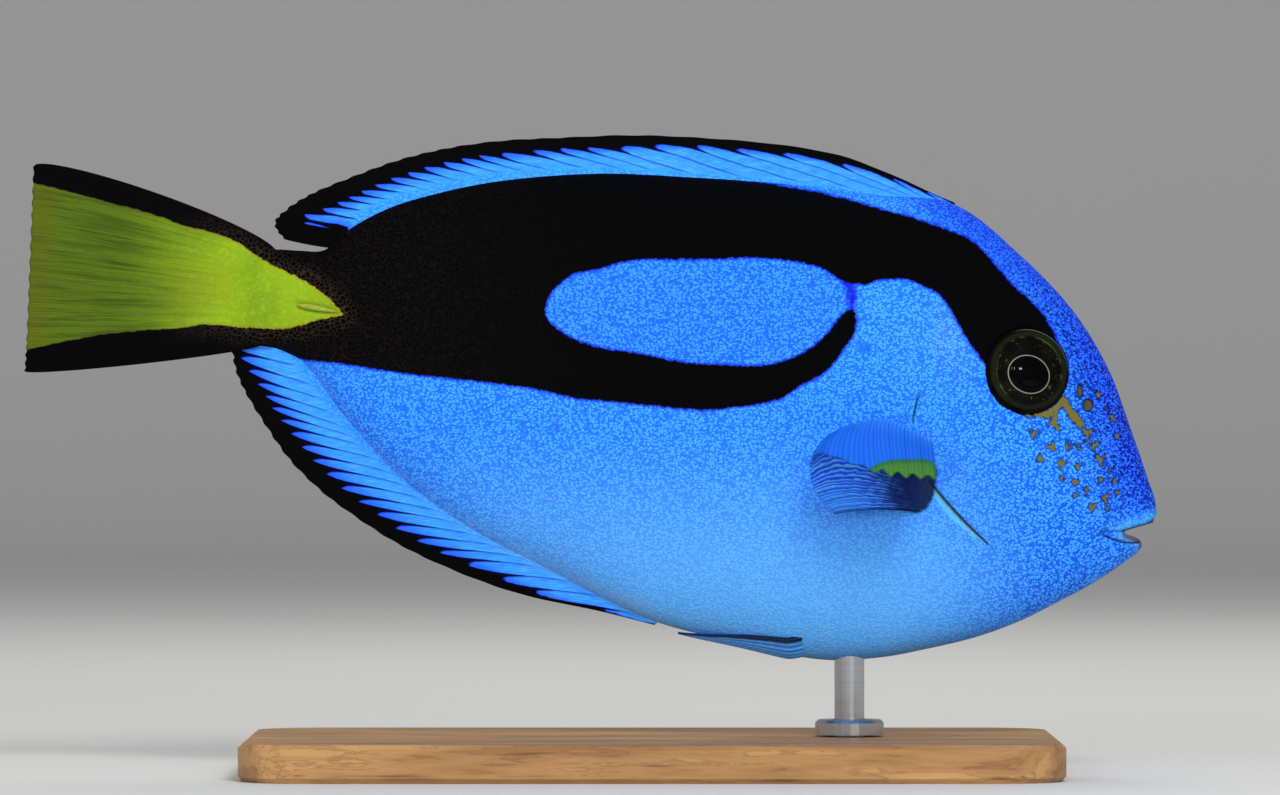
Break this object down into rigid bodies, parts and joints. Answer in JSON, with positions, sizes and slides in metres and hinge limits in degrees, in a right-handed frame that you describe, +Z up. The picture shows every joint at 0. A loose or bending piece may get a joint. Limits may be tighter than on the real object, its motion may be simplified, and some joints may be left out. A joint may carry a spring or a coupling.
{
  "type": "regal blue tang model on a display stand",
  "caption": "Still, life-size model of a regal blue tang, an oval flat-sided reef fish with swept fins and a small open mouth, held level with its head dipped by a short rod on a flat base.",
  "frame": {"origin": "on the floor, half way along the fish and in its middle plane", "axes": "+X towards the snout, +Y to the fish's left, +Z up"},
  "size_m": [0.1808, 0.076, 0.1021],
  "materials": {
    "skin": "satin painted skin, azure with a black palette mark",
    "lips": "satin painted skin, blue with brownish rims",
    "eyes": "wet gloss over a dark olive iris",
    "tail_spines": "pale smooth bone",
    "tail_fin": "satin ribbed membrane, yellow green with black edges",
    "long_fins": "satin ribbed membrane, violet blue with a black margin",
    "pectoral_fins": "satin ribbed membrane, blue with yellow green tips",
    "pelvic_fins": "satin ribbed membrane, blue",
    "stand_wood": "oiled oak with a fine open grain",
    "stand_metal": "finely brushed"
  },
  "bodies": {
    "root": {"head": "skin", "gill_cover_right": "skin", "gill_cover_left": "skin", "upper_lip": "lips", "lower_lip": "lips", "eye_right": "eyes", "eye_left": "eyes", "trunk": "skin", "tail_stalk": "skin", "tail_spine_right": "tail_spines", "tail_spine_left": "tail_spines", "tail_fin": "tail_fin", "dorsal_fin": "long_fins", "anal_fin": "long_fins", "pectoral_fin_right": "pectoral_fins", "pectoral_fin_left": "pectoral_fins", "pelvic_fin_right": "pelvic_fins", "pelvic_fin_left": "pelvic_fins", "stand_base": "stand_wood", "stand_collar": "stand_metal", "stand_rod": "stand_metal"}
  },
  "joints": []
}
